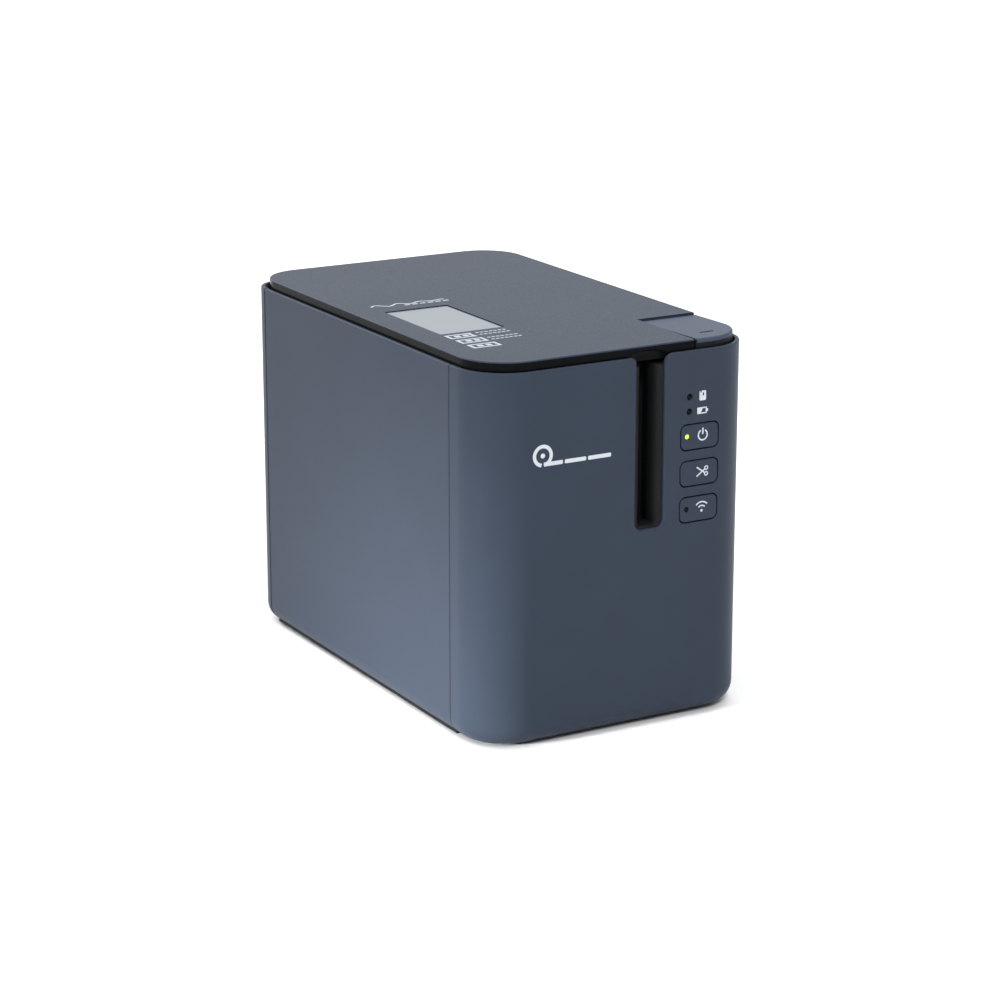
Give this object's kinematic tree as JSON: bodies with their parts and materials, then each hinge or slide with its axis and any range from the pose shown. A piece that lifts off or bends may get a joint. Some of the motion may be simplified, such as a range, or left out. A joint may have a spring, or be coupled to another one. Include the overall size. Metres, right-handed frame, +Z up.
{
  "type": "label maker",
  "caption": "Desktop tape label maker: slate shell with tape exit slot and keys in front, flat hinged lid with a window, release key, cassette, feed train and cutter inside.",
  "frame": {"origin": "middle of the footprint, on the plane that the feet stand on", "axes": "+X to the right, +Y to the back, +Z up; the tape slot and keys face -Y"},
  "size_m": [0.118, 0.192, 0.146],
  "materials": {
    "slate_shell": "fine moulded texture",
    "slate_lid": "fine moulded texture",
    "slate_button": "fine moulded texture, gloss black sides",
    "slate_keys": "fine moulded texture with printed symbols",
    "gloss_black": "high gloss",
    "window": "smooth, pale grey smoked window",
    "black_plastic": "fine texture",
    "lamp_lens": "smooth dark lens",
    "socket_shield": "nickel-plated sheet",
    "circuit_board": "solder resist",
    "zinc_steel": "zinc plated",
    "blade_steel": "ground",
    "motor_case": "drawn steel can",
    "aluminium": "extruded",
    "print_head": "glazed ceramic",
    "rubber": "matt",
    "acetal": "smooth moulded",
    "brass": "machined",
    "cassette_case": "moulded",
    "label_tape": "laminated film edge",
    "ink_ribbon": "thin film"
  },
  "bodies": {
    "housing": {"base_tray": "black_plastic", "front_cover": "slate_shell", "left_side_panel": "slate_shell", "right_side_panel": "slate_shell", "rear_cover": "slate_shell", "inner_deck": "black_plastic", "cassette_well": "black_plastic", "gear_plate": "zinc_steel", "feed_motor": "motor_case", "cutter_motor": "motor_case", "print_head": "print_head", "head_heat_sink": "aluminium", "cutter_frame": "zinc_steel", "fixed_blade": "blade_steel", "tape_guide": "black_plastic", "main_board": "circuit_board", "panel_board": "circuit_board", "power_tact_switch": "black_plastic", "cut_tact_switch": "black_plastic", "wireless_tact_switch": "black_plastic", "cassette_lamp": "lamp_lens", "battery_lamp": "lamp_lens", "power_jack": "black_plastic", "usb_socket": "socket_shield", "usb_host_socket": "socket_shield", "network_socket": "socket_shield", "serial_socket": "black_plastic", "wireless_module": "socket_shield", "dock_connector": "black_plastic", "lid_switch": "black_plastic", "cassette_case": "cassette_case", "cassette_cover": "cassette_case", "tape_roll": "label_tape", "ribbon_spool": "ink_ribbon", "foot_1": "rubber", "foot_2": "rubber", "foot_3": "rubber", "foot_4": "rubber", "base_screw_1": "zinc_steel", "base_screw_2": "zinc_steel", "base_screw_3": "zinc_steel", "base_screw_4": "zinc_steel", "hinge_pin_left": "zinc_steel", "hinge_pin_right": "zinc_steel"},
    "lid": {"lid_frame": "gloss_black", "lid_top_plate": "slate_lid", "lid_window": "window"},
    "release": {"release_button": "slate_button"},
    "latch": {"latch_slide": "acetal"},
    "key_power": {"power_key": "slate_keys"},
    "key_cut": {"cut_key": "slate_keys"},
    "key_wireless": {"wireless_key": "slate_keys"},
    "platen_arm": {"platen_holder": "black_plastic"},
    "platen": {"platen_roller": "rubber", "platen_gear": "acetal"},
    "idler": {"idler_gear": "acetal"},
    "takeup": {"takeup_spindle": "acetal"},
    "motor_shaft": {"motor_pinion": "brass"},
    "blade": {"cutter_blade": "blade_steel"},
    "blade_drive": {"cutter_pinion": "brass"}
  },
  "joints": [
    {"name": "lid_hinge", "type": "hinge", "parent": "housing", "child": "lid", "pos_m": [0, 0.0926, 0.142], "axis": [-1, 0, 0], "range_deg": [0, 92]},
    {"name": "release_press", "type": "hinge", "parent": "housing", "child": "release", "pos_m": [0.044, -0.057, 0.1415], "axis": [1, 0, 0], "range_deg": [0, 2.5], "stiffness_Nm_per_rad": 4, "springref_deg": -0.57},
    {"name": "latch_travel", "type": "slide", "parent": "housing", "child": "latch", "axis": [1, 0, 0], "range_m": [0, 0.0016]},
    {"name": "power_press", "type": "slide", "parent": "housing", "child": "key_power", "axis": [0, 1, 0], "range_m": [0, 0.0006], "stiffness_N_per_m": 2000},
    {"name": "cut_press", "type": "slide", "parent": "housing", "child": "key_cut", "axis": [0, 1, 0], "range_m": [0, 0.0006], "stiffness_N_per_m": 2000},
    {"name": "wireless_press", "type": "slide", "parent": "housing", "child": "key_wireless", "axis": [0, 1, 0], "range_m": [0, 0.0006], "stiffness_N_per_m": 2000},
    {"name": "platen_swing", "type": "hinge", "parent": "housing", "child": "platen_arm", "pos_m": [0.027, -0.022, 0.11], "axis": [0, 0, 1], "range_deg": [0, 8], "stiffness_Nm_per_rad": 0.8, "springref_deg": -2.86},
    {"name": "idler_spin", "type": "hinge", "parent": "housing", "child": "idler", "pos_m": [-0.00474, -0.04479, 0.0795], "axis": [0, 0, 1], "continuous": true},
    {"name": "platen_spin", "type": "hinge", "parent": "platen_arm", "child": "platen", "pos_m": [0.0171, -0.052, 0.0795], "axis": [0, 0, 1], "continuous": true},
    {"name": "takeup_spin", "type": "hinge", "parent": "housing", "child": "takeup", "pos_m": [-0.01615, -0.02032, 0.0795], "axis": [0, 0, 1], "continuous": true},
    {"name": "motor_spin", "type": "hinge", "parent": "housing", "child": "motor_shaft", "pos_m": [0.00069, -0.06508, 0.0795], "axis": [0, 0, 1], "continuous": true},
    {"name": "blade_swing", "type": "hinge", "parent": "housing", "child": "blade", "pos_m": [0.0125, -0.0749, 0.082], "axis": [0, -1, 0], "range_deg": [0, 18]},
    {"name": "blade_drive_spin", "type": "hinge", "parent": "housing", "child": "blade_drive", "pos_m": [0.022, -0.0752, 0.06555], "axis": [0, -1, 0], "range_deg": [-51, 0]}
  ],
  "couplings": [
    {"joint": "latch_travel", "follows": "release_press", "m_per_rad": 0.035},
    {"joint": "platen_spin", "follows": "idler_spin", "ratio": -1.875},
    {"joint": "takeup_spin", "follows": "idler_spin", "ratio": -1.25},
    {"joint": "motor_spin", "follows": "idler_spin", "ratio": -2.5},
    {"joint": "blade_drive_spin", "follows": "blade_swing", "ratio": -2.8}
  ]
}
